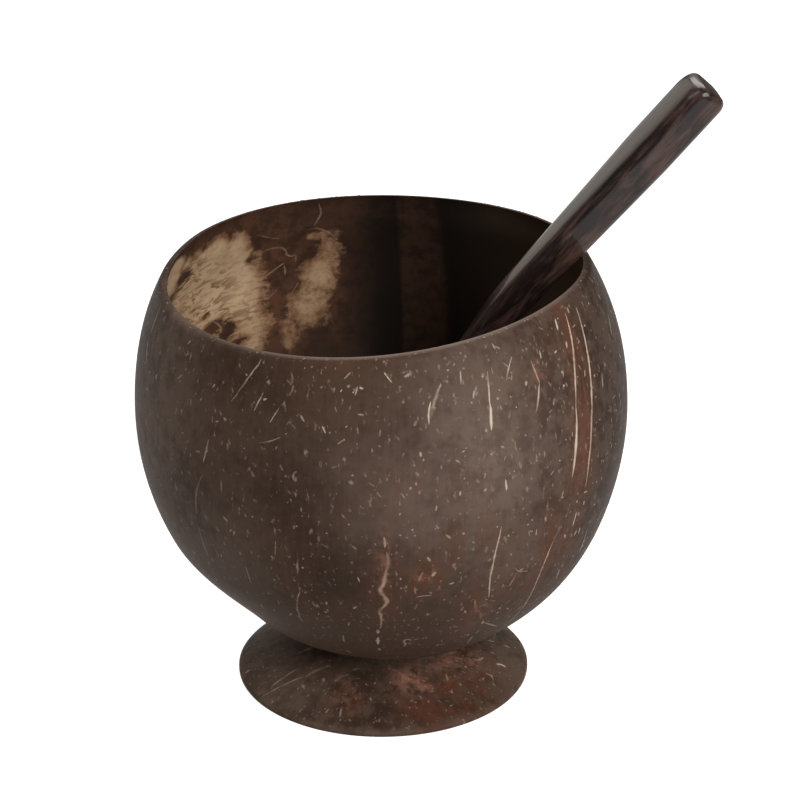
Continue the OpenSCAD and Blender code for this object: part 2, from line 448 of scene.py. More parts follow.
class Shader:
    """A node material that is built from short calls, which take and give node outputs."""

    def __init__(self, name):
        self.material = bpy.data.materials.new(name)
        self.material.use_nodes = True
        self.tree = self.material.node_tree
        self.surface = self.tree.nodes["Principled BSDF"]

    def add(self, kind, **settings):
        made = self.tree.nodes.new(kind)
        for key, value in settings.items():
            setattr(made, key, value)
        return made

    def put(self, socket, value):
        """Links another node's output to a socket, or sets it to a number or a colour."""
        if isinstance(value, bpy.types.NodeSocket):
            self.tree.links.new(value, socket)
        else:
            socket.default_value = rgb(*value) if isinstance(value, tuple) else value

    def math(self, operation, a, b, clamp=False):
        made = self.add("ShaderNodeMath", operation=operation, use_clamp=clamp)
        self.put(made.inputs[0], a)
        self.put(made.inputs[1], b)
        return made.outputs[0]

    def plus(self, a, b, clamp=False):
        return self.math("ADD", a, b, clamp)

    def minus(self, a, b):
        return self.math("SUBTRACT", a, b)

    def times(self, a, b):
        return self.math("MULTIPLY", a, b)

    def most(self, a, b):
        return self.math("MAXIMUM", a, b)

    def vector(self, operation, *values):
        made = self.add("ShaderNodeVectorMath", operation=operation)
        for socket, value in zip(made.inputs, values):
            self.put(socket, value)
        return made.outputs[0]

    def spread(self, value, low, high, to_low=0.0, to_high=1.0):
        """Takes a value from one range to another along a smooth step."""
        made = self.add("ShaderNodeMapRange", interpolation_type="SMOOTHSTEP")
        for socket, number in zip(made.inputs, (value, low, high, to_low, to_high)):
            self.put(socket, number)
        return made.outputs[0]

    def mix(self, share, a, b):
        # The node's colour sockets are inputs 6 and 7 and output 2
        made = self.add("ShaderNodeMix", data_type="RGBA")
        for socket, value in zip((made.inputs[0], made.inputs[6], made.inputs[7]), (share, a, b)):
            self.put(socket, value)
        return made.outputs[2]

    def number(self, name):
        """A number that was painted on the mesh."""
        return self.add("ShaderNodeAttribute", attribute_name=name).outputs["Fac"]

    def place(self, scale=(1, 1, 1)):
        """Place on the object in millimetres, stretched along its axes."""
        made = self.add("ShaderNodeMapping")
        self.put(made.inputs["Vector"], self.add("ShaderNodeTexCoord").outputs["Object"])
        made.inputs["Scale"].default_value = [s / MM for s in scale]
        return made.outputs[0]

    def round_place(self, across, along):
        """Place round a standing axis: how fast a pattern changes round it and up it."""
        here = self.place()
        unit = self.vector("NORMALIZE", self.vector("MULTIPLY", here, [1, 1, 0]))
        wide = self.vector("MULTIPLY", unit, [BOWL_R * across] * 3)
        return self.vector("ADD", wide, self.vector("MULTIPLY", here, [0, 0, along]))

    def noise(self, place, scale, detail=3.0, roughness=0.55, distortion=0.0):
        """Noise from 0 to 1, with its scale in lumps to the millimetre."""
        made = self.add("ShaderNodeTexNoise")
        for name, value in zip(NOISE_INPUTS, (place, scale, detail, roughness, distortion)):
            self.put(made.inputs[name], value)
        return made.outputs["Fac"]

    def cells(self, place, scale):
        """Distance to the nearest of scattered points."""
        made = self.add("ShaderNodeTexVoronoi")
        self.put(made.inputs["Vector"], place)
        self.put(made.inputs["Scale"], scale)
        return made.outputs["Distance"]

    def bump(self, height, depth, strength):
        """Relief of a depth in millimetres."""
        made = self.add("ShaderNodeBump")
        made.inputs["Strength"].default_value = strength
        made.inputs["Distance"].default_value = depth * MM
        self.put(made.inputs["Height"], height)
        self.put(self.surface.inputs["Normal"], made.outputs[0])

    def finish(self, colour, roughness, **constants):
        self.put(self.surface.inputs["Base Color"], colour)
        self.put(self.surface.inputs["Roughness"], roughness)
        for name, value in constants.items():
            self.surface.inputs[name.replace("_", " ")].default_value = value
        return self.material


def lay_fibre(s, colour, pale, pink):
    """A fibre's own colour over the colour beneath it: full along its middle, gone at its edges."""
    patchy = s.noise(s.place(), 0.9, detail=4, roughness=0.6)
    slow = s.noise(s.place(), 0.17, detail=2, roughness=0.5)
    change = s.plus(patchy, s.times(slow, 1.8))
    shade = s.plus(s.number("shade"), s.minus(change, 1.45), clamp=True)
    share = s.plus(s.times(shade, 0.8), 0.12)
    share = s.times(share, s.spread(s.number("core"), 0.0, 0.9))
    return s.mix(share, colour, s.mix(s.number("pink"), pale, pink))


def shell_material(name, tones, upright=False, fibre=None):
    """Polished shell: two browns, fine upright grain, pores, pale dust, red stains and a tan blush, with pale
    skin that is partly painted light, painted shade low down and under the front rim, and a painted highlight
    on the rim's inner edge.
    """
    dark, light, pale, red = tones
    s = Shader(name)
    cloud = s.noise(s.place(), 0.045, detail=4)
    grain = s.noise(s.round_place(1, 0.08), 1.3, roughness=0.5)
    fuzz = s.noise(s.place(), 0.7, roughness=0.5)
    fine = s.plus(s.times(grain, 0.5), s.times(fuzz, 0.5))
    mottle = s.minus(s.noise(s.place(), 0.3, roughness=0.6), 0.5)
    mottle = s.times(mottle, s.times(s.number("mottled"), 1.1))
    tone = s.plus(s.times(cloud, 0.62), s.times(fine, 0.38))
    tone = s.plus(tone, mottle)
    colour = s.mix(s.spread(tone, 0.34, 0.66), dark, light)
    # Paler skin, partly painted light
    pale_and_lit_share = s.times(s.number("pale"), s.spread(tone, 0.3, 0.6, 0.6, 1.0))
    colour = s.mix(pale_and_lit_share, colour, pale)
    # Painted shade low on the bowl and under the front rim
    colour = s.mix(s.number("painted_shade"), colour, SHADE_BROWN)
    if upright:
        streaks = s.noise(s.round_place(1, 0.13), 0.42, detail=4, roughness=0.62)
    else:
        streaks = s.noise(s.place(), 0.2, detail=5, roughness=0.62)
    stain = s.times(s.number("stain"), s.spread(streaks, 0.36, 0.62))
    faint = s.spread(s.noise(s.place(), 0.09, detail=5, roughness=0.6), 0.58, 0.78, 0.0, 0.3)
    colour = s.mix(s.most(stain, faint), colour, red)
    blotch = s.spread(s.noise(s.place(), 0.35, detail=4, roughness=0.65), 0.4, 0.62)
    colour = s.mix(s.times(s.number("blush"), blotch), colour, BLUSH)
    specks = s.noise(s.place((1, 1, 0.5)), 1.05, detail=2, roughness=0.5)
    colour = s.mix(s.spread(specks, 0.62, 0.78, 0.0, 0.75), colour, DUST)
    pores = s.spread(s.cells(s.place(), 1.3), 0.05, 0.16, 1.0, 0.0)
    colour = s.mix(s.times(pores, 0.15), colour, SHELL_PORE)
    # Painted highlight along the rim's inner edge, broken up by the cloud
    rim_highlight = s.times(s.number("rim_highlight"), s.spread(cloud, 0.25, 0.6, 0.6, 1.0))
    colour = s.mix(rim_highlight, colour, RIM_HIGHLIGHT_TONE)
    if fibre:
        colour = lay_fibre(s, colour, *fibre)
    s.bump(s.minus(s.times(fine, 0.35), s.times(pores, 0.5)), depth=0.06, strength=0.4)
    rough = s.spread(s.plus(cloud, s.times(grain, 0.4)), 0.4, 1.0, 0.5, 0.6)
    return s.finish(colour, rough, Specular_IOR_Level=0.04)


def inside_material(name, fibre=None):
    """Scraped inside: dark shell, warmer near the patches of pale husk skin that are left on it, with painted
    shade on the far wall and painted light on the front wall.
    """
    s = Shader(name)
    cloud = s.noise(s.place(), 0.06, detail=4)
    bare = s.mix(s.spread(cloud, 0.35, 0.65), INSIDE_DARK, INSIDE_LIGHT)
    # The painted number deep carries painted shade on the far wall, then painted light on the front wall
    deep = s.number("deep")
    bare = s.mix(s.spread(deep, 0, 0.5), bare, INSIDE_PAINTED_SHADE)
    bare = s.mix(s.spread(deep, 0.5, 1), bare, INSIDE_PAINTED_LIGHT)
    mottle = s.noise(s.place(), 0.32, detail=4, roughness=0.65)
    warm = s.times(s.number("warm"), s.spread(mottle, 0.36, 0.6, 0.45, 1.1))
    bare = s.mix(warm, bare, INSIDE_WARM)
    ragged = s.noise(s.round_place(0.7, 1), 0.14, detail=6, roughness=0.66)
    strokes = s.noise(s.round_place(0.35, 1.1), 0.75, distortion=0.8)
    rub = s.noise(s.place(), 0.55, detail=4, roughness=0.65)
    cover = s.plus(s.number("cream"), s.times(s.minus(ragged, 0.5), 0.75))
    cover = s.plus(cover, s.times(s.minus(rub, 0.5), 0.22))
    scrape = s.times(s.number("strokes"), s.spread(strokes, 0.44, 0.64))
    cover = s.minus(cover, s.times(scrape, 0.3))
    tan = s.mix(s.spread(rub, 0.35, 0.65), HUSK_BROWN, HUSK_TAN)
    pale = s.mix(s.spread(ragged, 0.35, 0.65), HUSK_CREAM, HUSK_BUFF)
    skin = s.spread(cover, 0.27, 0.42)
    colour = s.mix(skin, bare, tan)
    colour = s.mix(s.spread(cover, 0.38, 0.7), colour, pale)
    colour = s.mix(s.times(scrape, s.spread(cover, 0.3, 0.6)), colour, HUSK_STROKE)
    if fibre:
        colour = lay_fibre(s, colour, *fibre)
    s.bump(s.plus(skin, s.times(strokes, 0.4)), depth=0.1, strength=0.5)
    rough = s.spread(skin, 0, 1, 0.55, 0.7)
    return s.finish(colour, rough, Specular_IOR_Level=0.12)


def spoon_material():
    """Dark red-brown hardwood with long grain under clear lacquer."""
    s = Shader("lacquered wood")
    figure = s.noise(s.place((0.13, 0.55, 0.55)), 0.6, detail=4, roughness=0.6, distortion=0.8)
    grain = s.noise(s.place((0.03, 1, 1)), 2.2, detail=4, roughness=0.65)
    tone = s.plus(s.times(figure, 0.65), s.times(grain, 0.35))
    colour = s.mix(s.spread(tone, 0.4, 0.64), WOOD_DARK, WOOD_LIGHT)
    pores = s.noise(s.place((0.06, 1.6, 1.6)), 2.6, detail=2, roughness=0.5)
    pores = s.times(s.spread(pores, 0.6, 0.72), 0.5)
    colour = s.mix(pores, colour, WOOD_PORE)
    s.bump(s.minus(grain, pores), depth=0.03, strength=0.3)
    rough = s.spread(figure, 0.3, 0.7, 0.36, 0.46)
    return s.finish(colour, rough, Specular_IOR_Level=0.1, Coat_Weight=0.42, Coat_Roughness=0.1)


def end_material():
    """The handle's end, where bare end grain has drunk the lacquer."""
    s = Shader("end grain")
    rings = s.noise(s.place((1, 1, 0.25)), 1.1, detail=4, roughness=0.6)
    colour = s.mix(s.spread(rings, 0.4, 0.62), END_DARK, END_LIGHT)
    s.bump(rings, depth=0.05, strength=0.5)
    return s.finish(colour, s.spread(rings, 0.3, 0.7, 0.55, 0.7), Specular_IOR_Level=0.1)


def glue_material():
    """Set resin, dark with dust of the shell in it."""
    s = Shader("set glue")
    cloud = s.noise(s.place(), 0.8, detail=4)
    colour = s.mix(s.spread(cloud, 0.35, 0.65), GLUE_DARK, GLUE_LIGHT)
    s.bump(cloud, depth=0.1, strength=0.5)
    return s.finish(colour, s.spread(cloud, 0.3, 0.7, 0.55, 0.7), Specular_IOR_Level=0.15)


# Bowl

BOWL_COLUMNS = 300
OUTSIDE_ROWS = 110
RIM_STEPS = 7
RIM_BARE_ROWS = 3
INSIDE_ROWS = 80
# How much the outside's rows crowd towards seat and rim, and in how many rounds the seat's edge is found
ROW_CROWDING = 0.55
SEAT_ROUNDS = 6

# Red-brown stains outside, by pixels on them: across and up the wall, and how strong
OUTSIDE_STAINS = [
    (578, 345, 2.4, 12, 1.2),
    (584, 395, 1.6, 18, 1.7),
    (584, 450, 1.7, 16, 1.7),
    (575, 500, 2.6, 14, 1.3),
    (555, 540, 5, 10, 1.0),
    (535, 580, 5, 8, 0.7),
    (552, 328, 5, 6, 0.3),
    (428, 575, 9, 7, 0.8),
    (480, 600, 7, 12, 0.7),
    (470, 545, 12, 6, 0.5),
    (384, 590, 4, 16, 0.6),
    (345, 360, 14, 3, 0.35),
    (420, 500, 14, 8, 0.35),
    (530, 390, 5, 8, 0.15),
    (520, 580, 8, 8, 0.5),
    (300, 590, 6, 14, 0.35),
]

# Greyer, paler skin outside, which is also painted light where the lamps light the bowl's front right and its
# left edge, in the same form
OUTSIDE_PALE_AND_LIT = [
    (488, 450, 17, 26, 0.95),
    (440, 500, 20, 18, 0.6),
    (548, 440, 12, 30, 0.4),
    (510, 560, 14, 14, 0.5),
    (470, 380, 16, 10, 0.6),
    (160, 400, 14, 34, 0.75),
    (215, 558, 16, 16, 0.65),
]
# Painted shade, browner and darker, low on the bowl and under the rim in front: strength, where it begins and
# how softly
OUTSIDE_SHADE_LOW = 0.75
OUTSIDE_SHADE_LOW_Z = -16
OUTSIDE_SHADE_HIGH = 0.4
OUTSIDE_SHADE_HIGH_Z = 8
OUTSIDE_SHADE_SOFT = 22
FRONT_ANGLE = -105
OUTSIDE_SHADE_SPREAD = 50
# How much smoother the skin is in the middle of the front, and over what angle
SMOOTH = 0.8
SMOOTH_SPREAD = 40
# Paler tan blotches outside, in the same form
OUTSIDE_BLUSH = [
    (426, 575, 2.2, 1.8, 0.9),
    (540, 372, 2.0, 2.5, 0.45),
    (384, 565, 1.5, 8, 0.5),
    (480, 612, 2, 4, 0.5),
    (578, 440, 4, 36, 0.15),
]


def spots(angle, z, where, at):
    """The strongest of several soft spots at each place on the shell."""
    total = np.zeros(np.broadcast(angle, z).shape)
    for px, py, wide, high, strength in where:
        middle, level = at(px, py)
        off = ((angle - middle + 180) % 360 - 180) * math.pi / 180 * BOWL_R
        total = np.maximum(total, strength * np.exp(-(off / wide) ** 2 - ((z - level) / high) ** 2))
    return total


def rim_rows(outer, outer_below, inner, inner_below):
    """Rows of points over the rim, from the outer edge's rounding to the inner edge's."""
    rows = []
    for edge, below, other, size in (
        (outer, outer_below, inner, RIM_OUTER_ROUND),
        (inner, inner_below, outer, RIM_INNER_ROUND),
    ):
        down = below - edge
        down = down / np.linalg.norm(down, axis=-1, keepdims=True) * size
        over = other - edge
        over = over / np.linalg.norm(over, axis=-1, keepdims=True) * size
        start, end = (down, over) if edge is outer else (over, down)
        for turn in np.linspace(0, math.pi / 2, RIM_STEPS):
            rows.append(edge + start * (1 - math.sin(turn)) + end * (1 - math.cos(turn)))
    return rows


def seat_level(angle):
    """Height in the leaning bowl's frame at which its wall meets the level seat."""
    lean = math.radians(BOWL_LEAN)
    seat = np.full(len(angle), -SEAT_DEPTH)
    for _ in range(SEAT_ROUNDS):
        reach = nut_radius(seat, *OUTER_NUT) * np.cos(np.radians(angle))
        seat = (-SEAT_DEPTH - reach * math.sin(lean)) / math.cos(lean)
    return seat


def make_bowl(outside_skin, inside_skin):
    angle = np.arange(BOWL_COLUMNS) * 360 / BOWL_COLUMNS
    top = rim_height(angle)
    seat = seat_level(angle)
    levels = []
    rows = []
    for t in np.linspace(0, 1, OUTSIDE_ROWS):
        swing = math.sin((t - 0.5) * math.pi) / 2 + 0.5
        share = ROW_CROWDING * swing + (1 - ROW_CROWDING) * t
        z = seat + (top - RIM_OUTER_ROUND - seat) * share
        rows.append(outside(angle, z)[0])
        levels.append(z)
    outer = outside(angle, top)[0]
    inner = inside(angle, top)[0]
    inner_below = inside(angle, top - RIM_INNER_ROUND)[0]
    for row in rim_rows(outer, rows[-1], inner, inner_below):
        rows.append(row)
        levels.append(top)
    floor = -(BELLY_H - FLOOR_T)
    for i in range(1, INSIDE_ROWS):
        swing = math.cos(i / INSIDE_ROWS * math.pi / 2)
        z = floor + (top - RIM_INNER_ROUND - floor) * swing
        rows.append(inside(angle, z)[0])
        levels.append(z)
    points = np.concatenate(rows)
    ring_count = len(rows)
    inner_pole = len(points)
    seat_pole = inner_pole + 1
    points = np.concatenate([points, from_bowl(np.array([[0, 0, floor]])), [[0, 0, BOWL_SEAT_Z]]])
    faces = ring_faces(ring_count, BOWL_COLUMNS)
    crest = OUTSIDE_ROWS + RIM_STEPS
    slots = [0 if i < crest + RIM_BARE_ROWS else 1 for i in range(ring_count - 1)]
    face_slots = [slot for slot in slots for _ in range(BOWL_COLUMNS)]
    faces += cap_faces((ring_count - 1) * BOWL_COLUMNS, BOWL_COLUMNS, inner_pole, False)
    faces += cap_faces(0, BOWL_COLUMNS, seat_pole, True)
    face_slots += [1] * BOWL_COLUMNS + [0] * BOWL_COLUMNS
    bowl = make_object("bowl", points, faces, [outside_skin, inside_skin], face_slots)
    row = np.arange(ring_count)
    # Rows of the rim's inner edge, which take the painted highlight
    edge = (row >= crest) & (row < crest + RIM_BARE_ROWS)
    all_angles = np.append(np.tile(angle, ring_count), [0, 0])
    all_levels = np.append(np.concatenate(levels), [floor, -SEAT_DEPTH])
    paint_outside(bowl, all_angles, all_levels)
    paint_inside(bowl, all_angles, all_levels)
    paint_rim_highlight(bowl, all_angles, np.append(np.repeat(edge, BOWL_COLUMNS), [0, 0]))
    return bowl


# Patches of pale skin inside, by pixels on them: across and up the wall, and how strong
CREAM_PATCHES = [
    (236, 252, 5, 6, 0.8),
    (230, 272, 10, 7, 0.95),
    (237, 300, 9, 15, 0.9),
    (206, 287, 12, 8, 1.1),
    (188, 267, 4, 2.5, 0.7),
    (200, 266, 8, 4.5, 0.95),
    (214, 256, 8, 4.5, 0.95),
    (177, 272, 7, 2.6, 1.2),
    (170, 289, 8, 3.5, 1.2),
    (189, 297, 10, 8, 1.1),
    (212, 312, 13, 9, 1.05),
    (243, 335, 9, 10, 0.8),
    (248, 312, 7, 9, 0.6),
    (322, 235, 7, 3, 0.44),
    (327, 250, 5.2, 7, 0.5),
    (319, 276, 7.5, 9, 0.57),
    (311, 302, 8.5, 9, 0.57),
    (309, 322, 7, 5, 0.44),
    (288, 337, 5, 7, 0.46),
]
# Bare places within the pale skin
CREAM_HOLES = [
    (184, 277, 9, 0.9, 0.45),
    (206, 316, 2.6, 1.2, 0.6),
    (222, 314, 2.2, 1.2, 0.55),
    (213, 326, 4.5, 2.0, 0.85),
    (229, 328, 3, 1.8, 0.75),
    (241, 339, 3, 1.8, 0.55),
    (249, 261, 1.6, 0.9, 0.45),
]
# Where brown strokes break the pale skin
STROKE_PATCHES = [
    (202, 298, 12, 8, 1.0),
    (190, 280, 8, 6, 1.0),
    (215, 325, 14, 8, 0.8),
    (262, 300, 6, 18, 0.35),
]
# Where the bare shell is a warmer brown
WARM_PATCHES = [
    (276, 255, 13, 14, 0.85),
    (276, 310, 11, 22, 0.85),
    (250, 222, 22, 8, 0.8),
    (200, 290, 22, 26, 0.9),
    (310, 212, 18, 8, 0.45),
    (345, 300, 4, 26, 0.3),
    (334, 298, 4, 14, 0.7),
    (310, 260, 12, 26, 0.5),
    (545, 240, 8, 8, 0.3),
]
# Where painted shade, a deep brown, begins on the far wall inside; further round it gives way to painted
# light, a paler brown, on the inside front wall, and then fades out
SHADING_FROM_PX = (352, 290)
SHADING_SOFT = 9
SHADING_WIDE = 16
SHADING_FADE = 50
SHADING_END = 310
SHADING_END_SOFT = 90
# A wide band of redder brown on the back wall
BAND_LEFT_PX = (397, 250)
BAND_RIGHT_PX = (448, 250)
BAND_SOFT = 3
BAND_SHARP = 1
BAND_STRENGTH = 0.3
# Where a painted highlight lies along the rim's inner edge: angle, spread and strength
RIM_HIGHLIGHT_PLACES = [
    (-80, 62, 0.9),
    (52, 26, 0.5),
]


def paint_outside(obj, angle, z):
    # The pale spots are partly painted light
    for name, where in (("stain", OUTSIDE_STAINS), ("blush", OUTSIDE_BLUSH), ("pale", OUTSIDE_PALE_AND_LIT)):
        paint(obj, name, spots(angle, z, where, outside_at))
    # Painted shade: darker towards the bottom, and under the rim in front
    low = OUTSIDE_SHADE_LOW * ease((OUTSIDE_SHADE_LOW_Z - z) / OUTSIDE_SHADE_SOFT)
    high = OUTSIDE_SHADE_HIGH * ease((z - OUTSIDE_SHADE_HIGH_Z) / OUTSIDE_SHADE_SOFT) * lobe(angle, FRONT_ANGLE, OUTSIDE_SHADE_SPREAD)
    paint(obj, "painted_shade", np.maximum(low, high))
    paint(obj, "mottled", 1 - SMOOTH * lobe(angle, FRONT_ANGLE, SMOOTH_SPREAD))


def paint_inside(obj, angle, z):
    paint(obj, "cream", spots(angle, z, CREAM_PATCHES, inside_at) - spots(angle, z, CREAM_HOLES, inside_at))
    paint(obj, "strokes", spots(angle, z, STROKE_PATCHES, inside_at))
    left = inside_at(*BAND_LEFT_PX)[0]
    right = inside_at(*BAND_RIGHT_PX)[0]
    band = BAND_STRENGTH * ease((angle - right) / BAND_SOFT) * ease((left - angle) / BAND_SHARP)
    paint(obj, "warm", np.maximum(band, spots(angle, z, WARM_PATCHES, inside_at)))
    # Painted shade from a given place on the far wall, then painted light on the inside front wall
    turn = (inside_at(*SHADING_FROM_PX)[0] - angle) % 360
    deep = (ease(turn / SHADING_SOFT) + ease((turn - SHADING_WIDE) / SHADING_FADE)) / 2
    paint(obj, "deep", deep * ease((SHADING_END - turn) / SHADING_END_SOFT))


def paint_rim_highlight(obj, angle, edge):
    # Painted highlight along the rim's inner edge, strongest at the listed angles
    rim_highlight = sum(strength * lobe(angle, middle, spread) for middle, spread, strength in RIM_HIGHLIGHT_PLACES)
    paint(obj, "rim_highlight", np.clip(rim_highlight, 0, 1) * edge)


# Fibres in the shell

FIBRE_PROUD = 0.02
FIBRE_SUNK = 0.25
FIBRE_STEP = 0.6
STRAND_BLUNT = 0.6
UNEVEN_WIDTHS = (0.72, 1.2)
LEAST_POINTS = 5
CORNER_CUTS = 2
CORNER_SHARE = 0.25
WANDER_BLEND = (0.25, 0.5, 0.25)
# Points round a strand, and which of them is its middle
STRAND_SIDES = 4
STRAND_CORE = [0, 1, 0, 0]


class Fibres:
    """Slim closed strands that lie in a surface, and the shade of each."""

    def __init__(self):
        self.points = []
        self.faces = []
        self.shade = []
        self.pink = []
        self.core = []

    def add(self, middle, out, width, shade, pink):
        """One strand along the given middle points, pointed at both ends."""
        along = np.gradient(middle, axis=0)
        side = np.cross(along, out)
        side /= np.linalg.norm(side, axis=1, keepdims=True)
        half = side * (width / 2)[:, None]
        first = sum(len(p) for p in self.points)
        count = len(middle) - 2
        core = slice(1, -1)
        rings = np.stack(
            [
                middle[core] - half[core],
                middle[core] + out[core] * FIBRE_PROUD,
                middle[core] + half[core],
                middle[core] - out[core] * FIBRE_SUNK,
            ],
            axis=1,
        ).reshape(-1, 3)
        ends = np.stack([middle[0], middle[-1]])
        self.points.append(np.concatenate([rings, ends]))
        pole = first + len(rings)
        self.faces += ring_faces(count, STRAND_SIDES, first)
        self.faces += cap_faces(first, STRAND_SIDES, pole, True)
        self.faces += cap_faces(pole - STRAND_SIDES, STRAND_SIDES, pole + 1, False)
        self.shade += [shade] * (len(rings) + 2)
        self.pink += [pink] * (len(rings) + 2)
        self.core += STRAND_CORE * count + [0, 0]

    def make(self, name, material):
        """The strands as one object, and their points."""
        points = np.concatenate(self.points)
        obj = make_object(name, points, self.faces, [material], smooth=False)
        paint(obj, "shade", self.shade)
        paint(obj, "pink", self.pink)
        paint(obj, "core", self.core)
        return obj, points


def smooth_path(corners, spacing):
    """Points at an even spacing along a curve that rounds the given corners off."""
    corners = np.asarray(corners, dtype=float)
    for _ in range(CORNER_CUTS):
        step = CORNER_SHARE * (corners[1:] - corners[:-1])
        early = corners[:-1] + step
        late = corners[1:] - step
        cut = np.stack([early, late], axis=1).reshape(-1, 2)
        corners = np.concatenate([corners[:1], cut, corners[-1:]])
    legs = np.linalg.norm(np.diff(corners, axis=0), axis=1)
    way = np.concatenate([[0], np.cumsum(legs)])
    count = max(LEAST_POINTS, int(way[-1] / spacing) + 1)
    return np.stack([np.interp(np.linspace(0, way[-1], count), way, c) for c in corners.T], axis=1)


def tapered(count, width, blunt):
    """Width along a strand, which comes to a point at both ends, with an uneven edge."""
    t = np.linspace(0, 1, count)
    uneven = np.array([random.uniform(*UNEVEN_WIDTHS) for _ in range(count)])
    return width * np.sin(np.pi * t) ** blunt * uneven


def wander(count, reach):
    """Steps to the side that drift slowly, for a strand that isn't quite straight."""
    steps = np.array([random.uniform(-reach, reach) for _ in range(count)])
    return np.convolve(steps, WANDER_BLEND, mode="same")


def lay_on_wall(fibres, surface, corners, width, shade, pink, jag):
    """A strand through places given as angle and height on the bowl's wall."""
    flat = [(a * math.pi / 180 * BOWL_R, z) for a, z in corners]
    path = smooth_path(flat, FIBRE_STEP)
    path[:, 0] += wander(len(path), jag)
    points, out = surface(np.degrees(path[:, 0] / BOWL_R), path[:, 1])
    fibres.add(points, out, tapered(len(path), width, STRAND_BLUNT), shade, pink)


